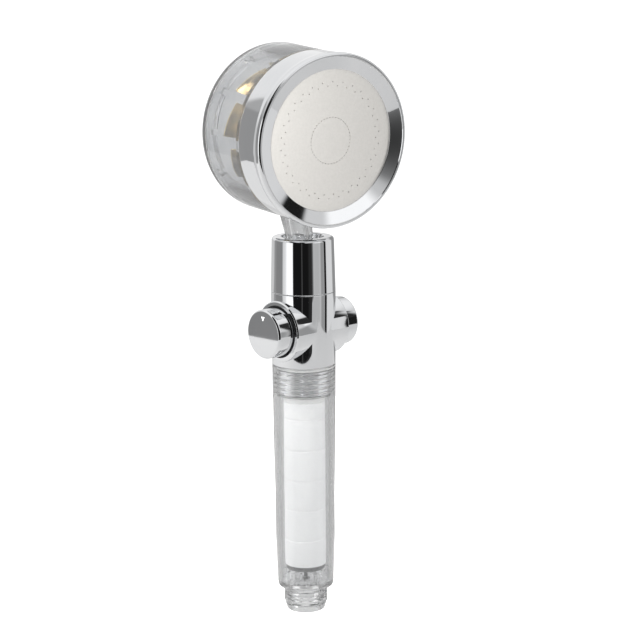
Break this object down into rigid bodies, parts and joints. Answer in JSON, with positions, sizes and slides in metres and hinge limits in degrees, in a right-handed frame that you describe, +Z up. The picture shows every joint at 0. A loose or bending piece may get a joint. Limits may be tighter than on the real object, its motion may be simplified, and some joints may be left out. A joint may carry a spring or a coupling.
{
  "type": "handheld shower head",
  "caption": "Handheld shower head: clear filter handle, push-through stop valve, ball-jointed round head with a spray plate and a turbine in a clear rear shell.",
  "frame": {"origin": "centre of the inlet's end face at the foot of the handle", "axes": "+Z up the handle towards the head, X along the stop valve, and the head faces -Y, turned 9 degrees towards -X and tipped 4 degrees down"},
  "size_m": [0.0863, 0.0651, 0.2723],
  "materials": {
    "chrome": "polished chrome plate on ABS",
    "clear_plastic": "clear polished polycarbonate",
    "spray_steel": "satin stainless steel",
    "gold_plastic": "gold metallised plastic",
    "bronze": "plain bearing bronze",
    "filter_wool": "matt white melt-blown filter wool",
    "white_plastic": "moulded white plastic",
    "grey_rubber": "matt dark grey rubber"
  },
  "bodies": {
    "base": {"swivel_nut": "chrome", "ball_seal": "grey_rubber", "valve_body": "chrome", "left_gland": "white_plastic", "right_gland": "white_plastic", "handle": "clear_plastic", "handle_seal": "white_plastic", "filter_cotton": "filter_wool", "filter_core": "white_plastic", "filter_top_cap": "white_plastic", "filter_plug": "grey_rubber", "filter_holder": "clear_plastic"},
    "swivel": {"swivel_ring": "white_plastic"},
    "head": {"bezel": "chrome", "spray_plate": "spray_steel", "plate_gasket": "grey_rubber", "jet_disc": "clear_plastic", "impeller_axle": "spray_steel", "thrust_washers": "spray_steel", "rear_shell": "clear_plastic", "jet_ring": "clear_plastic", "shell_seal": "grey_rubber", "neck": "clear_plastic", "neck_seal": "grey_rubber", "neck_ball": "chrome"},
    "impeller": {"impeller": "gold_plastic", "impeller_bushes": "bronze"},
    "spool": {"spool": "white_plastic", "spool_seals": "grey_rubber", "left_button": "chrome", "right_button": "chrome"}
  },
  "joints": [
    {"name": "head_swivel", "type": "hinge", "parent": "base", "child": "swivel", "pos_m": [0, 0, 0.1735], "axis": [0, 0, 1], "continuous": true},
    {"name": "head_tilt", "type": "hinge", "parent": "swivel", "child": "head", "pos_m": [0, 0, 0.1735], "axis": [0.9875, -0.1578, 0], "range_deg": [0, 30]},
    {"name": "impeller_spin", "type": "hinge", "parent": "head", "child": "impeller", "pos_m": [0, 0, 0.2311], "axis": [-0.1574, -0.9849, -0.0715], "continuous": true},
    {"name": "stop_push", "type": "slide", "parent": "base", "child": "spool", "axis": [1, 0, 0], "range_m": [-0.004, 0.004]}
  ]
}
